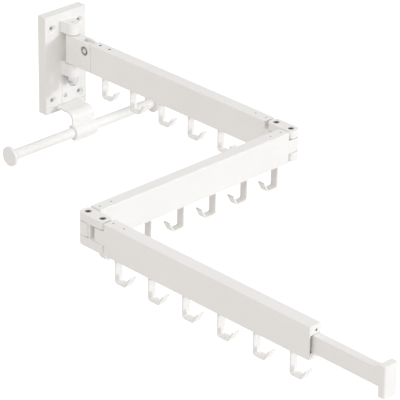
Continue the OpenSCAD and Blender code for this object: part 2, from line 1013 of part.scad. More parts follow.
module hook(k, pitch) {
    color(WHITE)
        translate([hook_first + (k - 1) * pitch, 0, 0])
            rotate([90, 0, 0])
                linear_extrude(hook_w, center = true)
                    hook_profile();
}

// End of the third arm and the extension
module arm_3_end_cap() {
    color(WHITE)
        at_arm_3()
            difference() {
                translate([arm_3_tube, 0, 0]) {
                    along_x(cap_t)
                        tube_outline();
                    translate([-cap_sleeve, 0, 0])
                        plug(cap_sleeve);
                }
                translate([arm_3_tube - 2 * cap_sleeve, 0, -bar_drop])
                    along_x(4 * cap_sleeve)
                        square([window_w, window_h], center = true);
                translate([arm_3_tube - 2 * cap_sleeve, 0, -bar_drop])
                    along_x(2 * cap_sleeve)
                        square([tube_w, window_h], center = true);
                translate([arm_3_tube + cap_t - cap_screw_len, bar_side, cap_screw_z])
                    along_x(2 * cap_screw_len)
                        circle(d = cap_screw_d + 2 * pin_fit);
            }
}

module arm_3_cap_screw() {
    color(DARK)
        at_arm_3()
            translate([arm_3_tube + cap_t, bar_side, cap_screw_z])
                rotate([0, 90, 0])
                    socket_screw(cap_screw_d, cap_screw_len - stop_gap);
}

module extension_bar() {
    color(WHITE)
        at_bar() {
            difference() {
                translate([plate_x - bar_len, 0, 0])
                    along_x(bar_len)
                        square([bar_w, bar_h], center = true);
                translate([plate_x - bar_len - over, 0, 0])
                    along_x(bar_len)
                        square([bar_w - 2 * bar_wall, bar_h - 2 * bar_wall], center = true);
                translate([plate_x - bar_len + slider_len / 2, 0, 0])
                    cylinder(d = cap_screw_d + 2 * pin_fit, h = tube_h);
            }
            translate([plate_x, 0, 0])
                along_x(end_plate_t)
                    rounded_outline(end_plate_w, end_plate_h, tube_corner);
            translate([plate_x - flare_len, 0, bar_h / 2])
                rotate([90, 0, 0])
                    linear_extrude(bar_w, center = true)
                        difference() {
                            translate([0, -bar_wall / 2])
                                square([flare_len + over, flare_rise - over + bar_wall / 2]);
                            translate([0, flare_r])
                                circle(flare_r);
                        }
        }
}

module extension_slider() {
    core_w = bar_w - 2 * bar_wall - 2 * plug_fit;
    core_h = bar_h - 2 * bar_wall - 2 * plug_fit;
    body_w = tube_w - 2 * tube_wall - 2 * plug_fit;
    color(GREY)
        difference() {
            union() {
                at_arm_3()
                    translate([plate_x - bar_len - slider_len, 0, 0])
                        along_x(slider_len)
                            square([body_w, slider_h], center = true);
                at_bar()
                    translate([plate_x - bar_len - over, 0, 0])
                        along_x(slider_len)
                            square([core_w, core_h], center = true);
            }
            at_bar()
                translate([plate_x - bar_len + slider_len / 2, 0, 0])
                    cylinder(d = cap_screw_d + 2 * pin_fit, h = tube_h);
        }
}

module slider_screw() {
    color(STEEL)
        at_bar()
            translate([plate_x - bar_len + slider_len / 2, 0, bar_h / 2])
                socket_screw(cap_screw_d, bar_h / 2 - over);
}

// Towel rod
module towel_rod() {
    color(WHITE)
        translate([-rod_len / 2 + rod_cap_t, -rod_out, -rod_down])
            along_x(rod_len - 2 * rod_cap_t)
                difference() {
                    circle(d = rod_d);
                    circle(d = rod_d - 2 * rod_wall);
                }
}

module rod_cap(side) {
    translate([side * rod_len / 2, -rod_out, -rod_down])
        rotate([0, -90 * side, 0]) {
            cylinder(d = rod_cap_d, h = rod_cap_t);
            cylinder(d = rod_d - 2 * rod_wall - 2 * plug_fit, h = rod_cap_t + rod_cap_stub);
        }
}

module rod_cap_left() {
    color(WHITE)
        rod_cap(-1);
}

module rod_cap_right() {
    color(WHITE)
        rod_cap(1);
}

wall_bracket();
pivot_bolt();
pivot_washer();
swivel_washers();
rod_holder();
holder_screw();
swivel_block();
pitch_bolt();
pitch_nut();
pitch_washers();
arm_1_tube_body();
arm_1_root_fork();
arm_1_root_screws();
arm_1_end_insert();
arm_1_end_pins();
elbow_1_link();
elbow_1_pins();
elbow_1_nuts();
elbow_1_washers();
arm_2_tube_body();
arm_2_root_insert();
arm_2_root_pins();
arm_2_end_insert();
arm_2_end_pins();
elbow_2_link();
elbow_2_pins();
elbow_2_nuts();
elbow_2_washers();
arm_3_tube_body();
arm_3_root_insert();
arm_3_root_pins();
arm_3_end_cap();
arm_3_cap_screw();
extension_bar();
extension_slider();
slider_screw();
towel_rod();
rod_cap_left();
rod_cap_right();
for (k = [1:hook_count]) {
    at_arm_1() hook(k, hook_pitch_1);
    at_arm_2() hook(k, hook_pitch_2);
    at_arm_3() hook(k, hook_pitch_3);
}
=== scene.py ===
# %% [markdown]
# Wall-mounted clothes rail with three folding arms.
# The engineering model holds every piece at its real size and place. This lesson dresses it: edges are
# softened, the repeated strip hooks and pins are grown by Geometry Nodes, and each surface gets a
# procedural finish.

# %% Load the frame
import json
import math

import bmesh
import bpy
from mathutils import Matrix, Vector


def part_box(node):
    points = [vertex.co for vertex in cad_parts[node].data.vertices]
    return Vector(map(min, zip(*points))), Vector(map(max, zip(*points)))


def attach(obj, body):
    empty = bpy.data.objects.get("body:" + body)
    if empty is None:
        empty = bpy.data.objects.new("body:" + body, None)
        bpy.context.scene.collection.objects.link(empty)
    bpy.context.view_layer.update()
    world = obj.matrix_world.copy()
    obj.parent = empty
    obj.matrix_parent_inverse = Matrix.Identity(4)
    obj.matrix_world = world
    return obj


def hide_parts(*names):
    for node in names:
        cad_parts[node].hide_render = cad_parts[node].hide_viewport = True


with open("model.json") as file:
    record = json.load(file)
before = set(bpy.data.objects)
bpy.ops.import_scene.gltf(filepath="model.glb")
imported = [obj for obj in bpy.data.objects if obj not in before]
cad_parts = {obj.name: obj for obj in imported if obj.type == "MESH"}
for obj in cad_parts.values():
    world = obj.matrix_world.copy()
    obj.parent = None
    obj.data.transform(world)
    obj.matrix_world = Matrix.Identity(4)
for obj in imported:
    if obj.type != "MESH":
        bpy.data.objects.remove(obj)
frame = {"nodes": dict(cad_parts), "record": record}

RECORD = frame["record"]
BODY_OF = {node: body for body, nodes in RECORD["behaviour"]["bodies"].items() for node in nodes}
SLOT_OF = {part["node"]: part["material_slot"] for part in RECORD["subparts"]}
MM = 0.001
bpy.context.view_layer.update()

# %% [markdown]
# The camera comes first, because every later choice is judged through it. A product photograph is usually
# taken from far away with a long lens, which keeps parallel edges nearly parallel. The focal length was
# found from the straight edges of the arms. It is given in pixels of a picture 400 pixels wide, so it is
# turned into millimetres on a 36 mm sensor. The camera's three axes are written from its turn round the
# vertical, its tilt down and a slight roll.

# %% Camera
PICTURE_SIZE = 400
FOCAL_PIXELS = 2487.3
SENSOR_WIDTH = 36
CAMERA_PLACE = Vector((-1.8611, -2.1479, 1.2232))
CAMERA_TURN, CAMERA_TILT, CAMERA_ROLL = (math.radians(a) for a in (44.502, 26.563, 0.948))


def camera_matrix(place, turn, tilt, roll):
    ahead = Vector((math.sin(turn) * math.cos(tilt), math.cos(turn) * math.cos(tilt), -math.sin(tilt)))
    right = ahead.cross(Vector((0, 0, 1))).normalized()
    up = right.cross(ahead)
    rolled_right = math.cos(roll) * right + math.sin(roll) * up
    rolled_up = math.cos(roll) * up - math.sin(roll) * right
    turned = Matrix((rolled_right, rolled_up, -ahead)).transposed().to_4x4()
    return Matrix.Translation(place) @ turned


lens = bpy.data.cameras.new("rail_camera")
lens.sensor_width = SENSOR_WIDTH
lens.lens = FOCAL_PIXELS / PICTURE_SIZE * SENSOR_WIDTH
lens.clip_end = 50
camera = bpy.data.objects.new("rail_camera", lens)
camera.matrix_world = camera_matrix(CAMERA_PLACE, CAMERA_TURN, CAMERA_TILT, CAMERA_ROLL)
bpy.context.collection.objects.link(camera)
bpy.context.scene.camera = camera
bpy.context.scene.view_settings.view_transform = "Standard"
print("lens", round(lens.lens, 1), "mm")

# %% [markdown]
# Shader maths is easier to read as a formula than as a web of nodes. Value wraps one output socket and
# answers to + - and *, so an expression adds its own Math nodes, and above() is a soft threshold. Shader
# makes every other node through one method: type, settings first, then the values or links of its sockets.

# %% Formulas for shaders


class Value:
    def __init__(self, shader, socket):
        self.shader = shader
        self.socket = socket

    def _math(self, operation, first, second):
        return self.shader.node("ShaderNodeMath", {"operation": operation}, {0: first, 1: second})

    def __add__(self, other):
        return self._math("ADD", self, other)

    def __sub__(self, other):
        return self._math("SUBTRACT", self, other)

    def __rsub__(self, other):
        return self._math("SUBTRACT", other, self)

    def __mul__(self, other):
        return self._math("MULTIPLY", self, other)

    def above(self, edge, softness):
        ramp = {"interpolation_type": "SMOOTHSTEP"}
        ends = {"Value": self, "From Min": edge - softness, "From Max": edge + softness}
        return self.shader.node("ShaderNodeMapRange", ramp, ends)

    __radd__ = __add__
    __rmul__ = __mul__


class Shader:
    def __init__(self, name):
        self.material = bpy.data.materials.new(name)
        self.material.use_nodes = True
        self.tree = self.material.node_tree
        self.tree.nodes.clear()
        self.place = self.node("ShaderNodeTexCoord", {}, {}, "Object")

    def node(self, kind, settings, sockets, output=0):
        made = self.tree.nodes.new(kind)
        for name, value in settings.items():
            setattr(made, name, value)
        for name, value in sockets.items():
            if isinstance(value, Value):
                self.tree.links.new(value.socket, made.inputs[name])
            else:
                made.inputs[name].default_value = value
        return Value(self, made.outputs[output]) if made.outputs else None

    def noise(self, scale, detail=2.0, stretch=(1, 1, 1)):
        spot = self.node("ShaderNodeMapping", {}, {"Vector": self.place, "Scale": stretch})
        return self.node("ShaderNodeTexNoise", {}, {"Vector": spot, "Scale": scale, "Detail": detail})

    def mix(self, factor, first, second):
        colours = {"data_type": "RGBA", "blend_type": "MIX"}
        return self.node("ShaderNodeMix", colours, {0: factor, 6: first, 7: second}, 2)

    def bump(self, height, depth):
        return self.node("ShaderNodeBump", {}, {"Height": height, "Distance": depth, "Strength": 1.0})

    def finish(self, **sockets):
        names = {name.replace("_", " "): value for name, value in sockets.items()}
        surface = self.node("ShaderNodeBsdfPrincipled", {}, names)
        self.node("ShaderNodeOutputMaterial", {}, {"Surface": surface})
        return self.material


print("shader formulas ready")

# %% [markdown]
# Powder coat is plastic powder melted onto metal. It looks smooth from a step away, but close up it has a
# fine orange peel, a soft gloss and very slight unevenness in its tone. The peel is a noise with millimetre
# lumps that are hundredths of a millimetre high, fed to a Bump node, while a slower noise shifts the tone
# and the gloss. Castings have the same coat over a rougher skin, so their lumps are larger and their gloss
# is lower.

# %% Coated finishes
CLOUD_SCALE = 14.0
SPECK_SCALE = 420.0
SPECK_TONE = 0.8


def rgba(red, green, blue):
    return (red, green, blue, 1.0)


def coat(name, tone, shade, gloss, lump_scale, lump_depth):
    s = Shader(name)
    lumps = s.noise(lump_scale, 2.0)
    grain = s.noise(lump_scale * 4, 1.0)
    cloud = s.noise(CLOUD_SCALE, 3.0)
    specks = s.noise(SPECK_SCALE, 1.0).above(0.74, 0.03)
    colour = s.mix(cloud.above(0.5, 0.22), rgba(*tone), rgba(*shade))
    colour = s.mix(specks * 0.12, colour, rgba(*(SPECK_TONE * c for c in shade)))
    return s.finish(
        Base_Color=colour,
        Roughness=gloss + 0.10 * (cloud - 0.5) + 0.06 * (grain - 0.5),
        Normal=s.bump(lumps + 0.25 * grain, lump_depth),
        Specular_IOR_Level=0.45,
    )


WHITE_TONE, WHITE_SHADE = (0.880, 0.868, 0.850), (0.862, 0.848, 0.828)
PLASTIC_TONE, PLASTIC_SHADE = (0.875, 0.866, 0.850), (0.862, 0.852, 0.836)
steel_coat = coat("white_powder_coat", WHITE_TONE, WHITE_SHADE, 0.40, 650.0, 0.00003)
cast_coat = coat("white_coat_on_casting", WHITE_TONE, WHITE_SHADE, 0.46, 420.0, 0.00005)
moulded_white = coat("moulded_white_plastic", PLASTIC_TONE, PLASTIC_SHADE, 0.50, 1500.0, 0.000015)
print("coats", steel_coat.name, cast_coat.name, moulded_white.name)

# %% [markdown]
# Bare metal is Metallic 1: its base colour is the tint of its mirror image. Chrome is nearly smooth, with
# hairline polishing marks. Zinc plating is duller, with a cloudy bloom. Black oxide is dark, dry and
# slightly metallic where the tool has rubbed it. Nylon washers are a soft grey with a faint mottling.

# %% Metal and nylon finishes


def chrome_finish():
    s = Shader("bright_chrome")
    marks = s.noise(900.0, 2.0, (1, 1, 0.08))
    return s.finish(
        Base_Color=rgba(0.55, 0.55, 0.56),
        Metallic=1.0,
        Roughness=0.06 + 0.06 * marks,
        Normal=s.bump(marks, 0.000004),
    )


def zinc_finish():
    s = Shader("zinc_plating")
    bloom = s.noise(260.0, 4.0)
    marks = s.noise(1400.0, 1.0, (1, 1, 0.1))
    colour = s.mix(bloom.above(0.5, 0.2), rgba(0.62, 0.62, 0.61), rgba(0.50, 0.50, 0.50))
    return s.finish(
        Base_Color=colour,
        Metallic=1.0,
        Roughness=0.26 + 0.18 * bloom,
        Normal=s.bump(marks, 0.000006),
    )


def black_oxide_finish():
    s = Shader("black_oxide")
    rubbed = s.noise(500.0, 3.0).above(0.56, 0.14)
    colour = s.mix(rubbed, rgba(0.18, 0.177, 0.172), rgba(0.38, 0.38, 0.37))
    return s.finish(
        Base_Color=colour,
        Metallic=0.35 + 0.4 * rubbed,
        Roughness=0.50 - 0.15 * rubbed,
        Normal=s.bump(rubbed, 0.000006),
    )


def nylon_finish():
    s = Shader("grey_nylon")
    mottle = s.noise(320.0, 3.0)
    colour = s.mix(mottle, rgba(0.50, 0.50, 0.48), rgba(0.62, 0.62, 0.60))
    return s.finish(
        Base_Color=colour,
        Roughness=0.45 + 0.15 * mottle,
        Normal=s.bump(mottle, 0.00001),
    )


FINISHES = {
    "white_steel": steel_coat,
    "white_casting": cast_coat,
    "white_plastic": moulded_white,
    "chromed_steel": chrome_finish(),
    "zinc_steel": zinc_finish(),
    "dark_steel": black_oxide_finish(),
    "grey_plastic": nylon_finish(),
}
print("finishes", sorted(FINISHES))

# %% [markdown]
# Every finished piece ends in the same two steps. plain_mesh turns an object with live modifiers into a
# mesh without any, and wear gives it its finish, its body in the physics and the engineering pieces that it
# stands for.

# %% From a draft to a finished piece


def plain_mesh(obj, name):
    graph = bpy.context.evaluated_depsgraph_get()
    finished = obj.evaluated_get(graph)
    made = bpy.data.meshes.new_from_object(finished, preserve_all_data_layers=True, depsgraph=graph)
    made.name = name
    return made


def wear(obj, body, slot, *nodes, finish=None):
    obj.data.materials.clear()
    obj.data.materials.append(finish or FINISHES[slot])
    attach(obj, body)
    if nodes:
        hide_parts(*nodes)
    return obj


# %% [markdown]
# A piece of the engineering model has perfectly sharp edges and a mesh of loose triangles. Real coated
# metal has edges a few tenths of a millimetre round, and it is those that catch the light. So each piece is
# copied, its loose triangles are merged and its flat faces are joined, which leaves clean edges for a Bevel
# modifier.

# %% A clean copy of an engineering piece
MERGE_GAP = 0.000002
FLAT_ANGLE = math.radians(0.5)


def merged_copy(node):
    mesh = frame["nodes"][node].data.copy()
    work = bmesh.new()
    work.from_mesh(mesh)
    bmesh.ops.remove_doubles(work, verts=work.verts, dist=MERGE_GAP)
    bmesh.ops.dissolve_limit(work, angle_limit=FLAT_ANGLE, verts=work.verts, edges=work.edges)
    work.to_mesh(mesh)
    work.free()
    if "custom_normal" in mesh.attributes:
        mesh.attributes.remove(mesh.attributes["custom_normal"])
    mesh.shade_smooth()
    return mesh


print("corners closer than", MERGE_GAP / MM, "mm are merged")

# %% [markdown]
# The end plate of the pull-out bar has no sharp sides: they curve into its front. A Bevel modifier can't do
# that here, because the plate's short corner arcs would stop it. So the plate is sliced near its front, and
# each slice is made narrower by the amount that a quarter circle asks for.

# %% The rounded front of the end plate


def round_front(mesh, radius, steps=6):
    """Rounds the sides of the end furthest from the wall towards its front, as a half-round file would."""
    work = bmesh.new()
    work.from_mesh(mesh)
    front = min(v.co.y for v in work.verts)
    for step in range(steps):
        depth = radius * (1 - math.cos(math.radians(90 * (step + 1) / steps)))
        everything = work.verts[:] + work.edges[:] + work.faces[:]
        cut = {"plane_co": (0, front + depth, 0), "plane_no": (0, 1, 0)}
        bmesh.ops.bisect_plane(work, geom=everything, dist=MERGE_GAP, **cut)
    tip = [v for v in work.verts if v.co.y < front + radius]
    middle = (min(v.co.x for v in tip) + max(v.co.x for v in tip)) / 2
    half = max(v.co.x for v in tip) - middle
    for v in tip:
        short = radius - (v.co.y - front)
        inset = radius - math.sqrt(max(radius**2 - short**2, 0))
        v.co.x = middle + (v.co.x - middle) * (half - inset) / half
    work.to_mesh(mesh)
    work.free()
    mesh.shade_smooth()
    return mesh


print("round front ready")

# %% [markdown]
# The Bevel modifier rounds every edge that turns by more than a set angle, so the fine facets of a round
# piece are left alone. Weighted normals then keep the flat faces flat. The softened copy stands for the
# original, which stays in the physics.

# %% Soft edges
EDGE_ANGLE = math.radians(32)


def softened(piece, node, radius, segments=2, front_radius=0, finish=None):
    mesh = merged_copy(node)
    if front_radius:
        round_front(mesh, front_radius)
    draft = bpy.data.objects.new(piece + "_draft", mesh)
    bpy.context.collection.objects.link(draft)
    rounding = draft.modifiers.new("edges", "BEVEL")
    rounding.width = radius
    rounding.segments = segments
    rounding.limit_method = "ANGLE"
    rounding.angle_limit = EDGE_ANGLE
    rounding.miter_outer = "MITER_ARC"
    normals = draft.modifiers.new("normals", "WEIGHTED_NORMAL")
    normals.keep_sharp = True
    mesh = plain_mesh(draft, piece)
    bpy.data.objects.remove(draft)
    obj = bpy.data.objects.new(piece, mesh)
    bpy.context.collection.objects.link(obj)
    wear(obj, BODY_OF[node], SLOT_OF[node], node, finish=finish)
    print(piece, len(mesh.polygons), "faces")
    return obj


print("soft edges from", round(math.degrees(EDGE_ANGLE)), "degrees")

# %% [markdown]
# The wall bracket and the swivel block are castings, so their edges are the roundest. The arms are drawn
# steel tubes with sawn and tumbled ends. The elbows are castings again, and their knuckles turn between the
# link's two plates.

# %% Castings
CAST_EDGE = 0.5 * MM
TURNED_EDGE = 0.2 * MM
softened("bracket_casting", "wall_bracket", CAST_EDGE)
softened("swivel_casting", "swivel_block", CAST_EDGE)
for number in (1, 2):
    softened(f"elbow_{number}_casting", f"elbow_{number}_link", CAST_EDGE)
softened("arm_1_root_fork_casting", "arm_1_root_fork", TURNED_EDGE)
for node in ("arm_1_end_insert", "arm_2_root_insert", "arm_2_end_insert", "arm_3_root_insert"):
    softened(node + "_casting", node, TURNED_EDGE)

# %% [markdown]
# Sawn tube ends are nearly sharp, and one segment is enough for them. The moulded end cap guides the
# pull-out bar, and the towel rod lies in a bent clip, with a round plastic knob at each end.

# %% Tubes, bar and towel rod
SAWN_EDGE = 0.15 * MM
CLIP_EDGE = 0.3 * MM
BAR_EDGE = 0.4 * MM
KNOB_EDGE = 0.6 * MM
END_PLATE_ROUND = 2.5 * MM
for number in (1, 2, 3):
    softened(f"arm_{number}_profile", f"arm_{number}_tube_body", SAWN_EDGE, 1)
softened("end_cap_moulding", "arm_3_end_cap", TURNED_EDGE)
softened("pull_out_bar", "extension_bar", BAR_EDGE, front_radius=END_PLATE_ROUND)
softened("rod_clip", "rod_holder", CLIP_EDGE)
softened("rod_tube", "towel_rod", TURNED_EDGE)
for side in ("left", "right"):
    softened(f"rod_knob_{side}", f"rod_cap_{side}", KNOB_EDGE, 3)

# %% [markdown]
# Bolts, nuts and washers keep the shape of the engineering model. The nut of the pitch bolt gets the dark
# finish
# although its slot is another one: that dark colour is painted shade, standing for the shade in its round
# recess.

# %% Bolts, nuts and washers
BOLT_EDGE = 0.12 * MM
SMALL_EDGE = 0.1 * MM
SMALL_TURNED = ("swivel_washers", "pitch_washers", "arm_1_root_screws", "arm_3_cap_screw", "slider_screw")
for node in ("pivot_bolt", "pivot_washer", "pitch_bolt", "holder_screw"):
    softened(node + "_turned", node, BOLT_EDGE)
# The pitch nut's dark finish is painted shade: it stands for the shade in its round recess.
softened("pitch_nut_painted_dark", "pitch_nut", BOLT_EDGE, finish=FINISHES["dark_steel"])
for number in (1, 2):
    for part in ("pins", "nuts", "washers"):
        softened(f"elbow_{number}_{part}_turned", f"elbow_{number}_{part}", SMALL_EDGE, 1)
for node in (*SMALL_TURNED, "extension_slider"):
    softened(node + "_turned", node, SMALL_EDGE, 1)

# %% [markdown]
# Eighteen strip hooks hang under the arms, all bent from the same flat strip. They could be modelled once
# and copied, but Geometry Nodes can draw the bend line from its sizes, sweep a rounded strip section along
# it and repeat it at a pitch, so one tree serves all three arms. Builder below makes nodes in the same way
# as Shader does.

# %% Builder for Geometry Nodes


class Builder:
    def __init__(self, name, inputs):
        self.tree = bpy.data.node_groups.new(name, "GeometryNodeTree")
        self.tree.is_modifier = True
        for label, (kind, value) in inputs.items():
            socket = self.tree.interface.new_socket(name=label, in_out="INPUT", socket_type=kind)
            if kind == "NodeSocketFloat":
                socket.subtype = "DISTANCE"
            if value is not None:
                socket.default_value = value
        self.tree.interface.new_socket(name="Geometry", in_out="OUTPUT", socket_type="NodeSocketGeometry")
        self.inside = self.tree.nodes.new("NodeGroupInput")

    def size(self, label):
        return self.inside.outputs[label]

    def node(self, kind, settings, sockets, output=0):
        made = self.tree.nodes.new(kind)
        for name, value in settings.items():
            setattr(made, name, value)
        for name, value in sockets.items():
            if isinstance(value, bpy.types.NodeSocket):
                self.tree.links.new(value, made.inputs[name])
            else:
                made.inputs[name].default_value = value
        return made.outputs[output]

    def maths(self, operation, first, second):
        return self.node("ShaderNodeMath", {"operation": operation}, {0: first, 1: second})

    def point(self, x, y, z=0.0):
        return self.node("ShaderNodeCombineXYZ", {}, {"X": x, "Y": y, "Z": z})

    def row(self, piece, count, first, pitch):
        """Copies of a piece along X, as real geometry with the finish of the tree's Finish input."""
        number = self.node("GeometryNodeInputIndex", {}, {})
        along = self.maths("ADD", first, self.maths("MULTIPLY", number, pitch))
        spots = self.node("GeometryNodePoints", {}, {"Count": count, "Position": self.point(along, 0.0)})
        copies = self.node("GeometryNodeInstanceOnPoints", {}, {"Points": spots, "Instance": piece})
        solid = self.node("GeometryNodeRealizeInstances", {}, {"Geometry": copies})
        finish = self.size("Finish")
        return self.node("GeometryNodeSetMaterial", {}, {"Geometry": solid, "Material": finish})

    def output(self, geometry):
        end = self.tree.nodes.new("NodeGroupOutput")
        self.tree.links.new(geometry, end.inputs["Geometry"])
        return self.tree


print("tree builder ready")

# %% [markdown]
# A tree is only a recipe. grown hangs it on an empty object as a modifier, sets its inputs by their
# identifiers, takes the result as a plain mesh and moves that mesh to its place, so that the finished object
# itself stays at the origin.

# %% From a tree to a finished piece


def grown(piece, tree, sizes, place):
    """A plain mesh of what the tree makes with these sizes, put in its place."""
    draft = bpy.data.objects.new(piece + "_draft", bpy.data.meshes.new(piece + "_draft"))
    bpy.context.collection.objects.link(draft)
    growth = draft.modifiers.new("growth", "NODES")
    growth.node_group = tree
    for item in tree.interface.items_tree:
        if item.in_out == "INPUT" and item.name in sizes:
            growth[item.identifier] = sizes[item.name]
    normals = draft.modifiers.new("normals", "WEIGHTED_NORMAL")
    normals.keep_sharp = True
    mesh = plain_mesh(draft, piece)
    bpy.data.objects.remove(draft)
    mesh.transform(place)
    obj = bpy.data.objects.new(piece, mesh)
    bpy.context.collection.objects.link(obj)
    print(piece, len(mesh.polygons), "faces")
    return obj


print("trees are grown along X and then placed")

# %% [markdown]
# The hook's middle line has five corners: the end of its foot inside the tube, the top and the bottom of
# its stem, the corner where its lip starts, and the tip of the lip. Fillet Curve turns the corners into
# bends.

# %% Tree for a row of strip hooks
LENGTH = "NodeSocketFloat"
HOOK_SIZES = {
    "Count": ("NodeSocketInt", 6),
    "First": (LENGTH, 0.012),
    "Pitch": (LENGTH, 0.050),
    "Width": (LENGTH, 0.010),
    "Thickness": (LENGTH, 0.002),
    "Edge": (LENGTH, 0.0004),
    "Bend": (LENGTH, 0.003),
    "Foot X": (LENGTH, -0.008),
    "Seat Z": (LENGTH, -0.0168),
    "Bottom Z": (LENGTH, -0.046),
    "Lip X": (LENGTH, 0.0158),
    "Tip X": (LENGTH, 0.022),
    "Tip Z": (LENGTH, -0.035),
    "Finish": ("NodeSocketMaterial", None),
}


def hook_tree():
    b = Builder("strip_hooks", HOOK_SIZES)
    size = b.size
    stem_x = b.maths("MULTIPLY", size("Thickness"), 0.5)
    corners = [
        b.point(size("Foot X"), size("Seat Z")),
        b.point(stem_x, size("Seat Z")),
        b.point(stem_x, size("Bottom Z")),
        b.point(size("Lip X"), size("Bottom Z")),
        b.point(size("Tip X"), size("Tip Z")),
    ]
    switch = b.tree.nodes.new("GeometryNodeIndexSwitch")
    switch.data_type = "VECTOR"
    for _ in corners[2:]:
        switch.index_switch_items.new()
    b.tree.links.new(b.node("GeometryNodeInputIndex", {}, {}), switch.inputs[0])
    for place, corner in enumerate(corners):
        b.tree.links.new(corner, switch.inputs[place + 1])
    spots = b.node("GeometryNodePoints", {}, {"Count": len(corners), "Position": switch.outputs[0]})
    line = b.node("GeometryNodePointsToCurves", {}, {"Points": spots})
    line = b.node("GeometryNodeSetCurveNormal", {"mode": "Z_UP"}, {"Curve": line})
    bends = {"Curve": line, "Radius": size("Bend"), "Limit Radius": True, "Count": 8}
    line = b.node("GeometryNodeFilletCurve", {"mode": "POLY"}, bends)
    strip = b.node("GeometryNodeCurvePrimitiveQuadrilateral", {}, {0: size("Thickness"), 1: size("Width")})
    rounding = {"Curve": strip, "Radius": size("Edge"), "Limit Radius": True, "Count": 3}
    strip = b.node("GeometryNodeFilletCurve", {"mode": "POLY"}, rounding)
    sweep = {"Curve": line, "Profile Curve": strip, "Fill Caps": True}
    swept = b.node("GeometryNodeCurveToMesh", {}, sweep)
    smooth = b.node("GeometryNodeSetShadeSmooth", {}, {"Geometry": swept, "Shade Smooth": True})
    stood = b.node("GeometryNodeTransform", {}, {"Geometry": smooth, "Rotation": (math.pi / 2, 0, 0)})
    return b.output(b.row(stood, size("Count"), size("First"), size("Pitch")))


hooks = hook_tree()
print("hook tree", len(hooks.nodes), "nodes")

# %% [markdown]
# Each arm has its own line of X: it starts at the end of the arm's tube nearer the wall and runs outwards.
# The places and the pitch of the hooks are read from the engineering model, so the strips fall exactly in
# their slots.

# %% Hooks on the three arms
STRIP_T = 2 * MM
TUBE_WALL = 1.2 * MM
FLAT_BOTTOM = 16.4 * MM
LIP_LENGTH = 13.5 * MM
LIP_ANGLE = math.radians(61)
HOOKS_PER_ARM = 6


def arm_place(number):
    low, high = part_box(f"arm_{number}_tube_body")
    middle = (low + high) / 2
    if number == 2:
        return Matrix.Translation((high.x, middle.y, middle.z)) @ Matrix.Rotation(math.pi, 4, "Z")
    return Matrix.Translation((middle.x, high.y, middle.z)) @ Matrix.Rotation(-math.pi / 2, 4, "Z")


def along_arm(number, node):
    """Lowest and highest corner of a node, measured in its arm's own axes."""
    back = arm_place(number).inverted()
    corners = [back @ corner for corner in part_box(node)]
    low = Vector([min(c[axis] for c in corners) for axis in range(3)])
    high = Vector([max(c[axis] for c in corners) for axis in range(3)])
    return low, high


def hang_hooks(number):
    nodes = [f"arm_{number}_hook_{k + 1}" for k in range(HOOKS_PER_ARM)]
    tube_low, _ = along_arm(number, f"arm_{number}_tube_body")
    low, high = along_arm(number, nodes[0])
    pitch = along_arm(number, nodes[1])[0].x - low.x
    reach = FLAT_BOTTOM + LIP_LENGTH * math.cos(LIP_ANGLE)
    foot = high.x - low.x - reach
    half = STRIP_T / 2
    corner_x = FLAT_BOTTOM - half * math.tan(LIP_ANGLE / 2)
    lip = LIP_LENGTH - half * math.tan(LIP_ANGLE / 2)
    sizes = {
        "Count": HOOKS_PER_ARM,
        "First": low.x + foot,
        "Pitch": pitch,
        "Width": high.y - low.y,
        "Thickness": STRIP_T,
        "Foot X": -foot,
        "Seat Z": tube_low.z + TUBE_WALL + half,
        "Bottom Z": low.z + half,
        "Lip X": corner_x,
        "Tip X": corner_x + lip * math.cos(LIP_ANGLE),
        "Tip Z": low.z + half + lip * math.sin(LIP_ANGLE),
        "Finish": FINISHES["white_steel"],
    }
    row = grown(f"arm_{number}_hooks", hooks, sizes, arm_place(number))
    wear(row, f"arm_{number}", "white_steel", *nodes)
    print("pitch on arm", number, round(pitch / MM, 2), "mm")


for number in (1, 2, 3):
    hang_hooks(number)

# %% [markdown]
# Small plated pins hold the cast inserts in the tubes. Each is a cylinder with a hexagonal socket for its
# key. A Mesh Boolean cuts the socket, and the same kind of row repeats the pin, two to an insert.

# %% Tree for a row of socket pins
PIN_SIZES = {
    "Count": ("NodeSocketInt", 2),
    "First": (LENGTH, 0.005),
    "Pitch": (LENGTH, 0.0165),
    "Diameter": (LENGTH, 0.0024),
    "Length": (LENGTH, 0.0087),
    "Top": (LENGTH, 0.019),
    "Finish": ("NodeSocketMaterial", None),
}
SOCKET_SHARE = 0.55


def pin_tree():
    b = Builder("socket_pins", PIN_SIZES)
    size = b.size
    radius = b.maths("MULTIPLY", size("Diameter"), 0.5)
    middle = b.maths("SUBTRACT", size("Top"), b.maths("MULTIPLY", size("Length"), 0.5))
    round_bar = {"Vertices": 32, "Radius": radius, "Depth": size("Length")}
    body = b.node("GeometryNodeMeshCylinder", {}, round_bar)
    body = b.node("GeometryNodeTransform", {}, {"Geometry": body, "Translation": b.point(0.0, 0.0, middle)})
    key = {"Vertices": 6, "Radius": b.maths("MULTIPLY", radius, SOCKET_SHARE), "Depth": size("Diameter")}
    socket = b.node("GeometryNodeMeshCylinder", {}, key)
    raised = {"Geometry": socket, "Translation": b.point(0.0, 0.0, size("Top"))}
    socket = b.node("GeometryNodeTransform", {}, raised)
    pin = b.node("GeometryNodeMeshBoolean", {"operation": "DIFFERENCE"}, {"Mesh 1": body, "Mesh 2": socket})
    return b.output(b.row(pin, size("Count"), size("First"), size("Pitch")))


pins = pin_tree()
print("pin tree", len(pins.nodes), "nodes")

# %% [markdown]
# Each pair of pins reads its diameter, length, pitch and place from the two pins of the engineering model,
# measured along the arm that they belong to.

# %% Pins in the inserts
PINNED_NODES = ("arm_1_end_pins", "arm_2_root_pins", "arm_2_end_pins", "arm_3_root_pins")


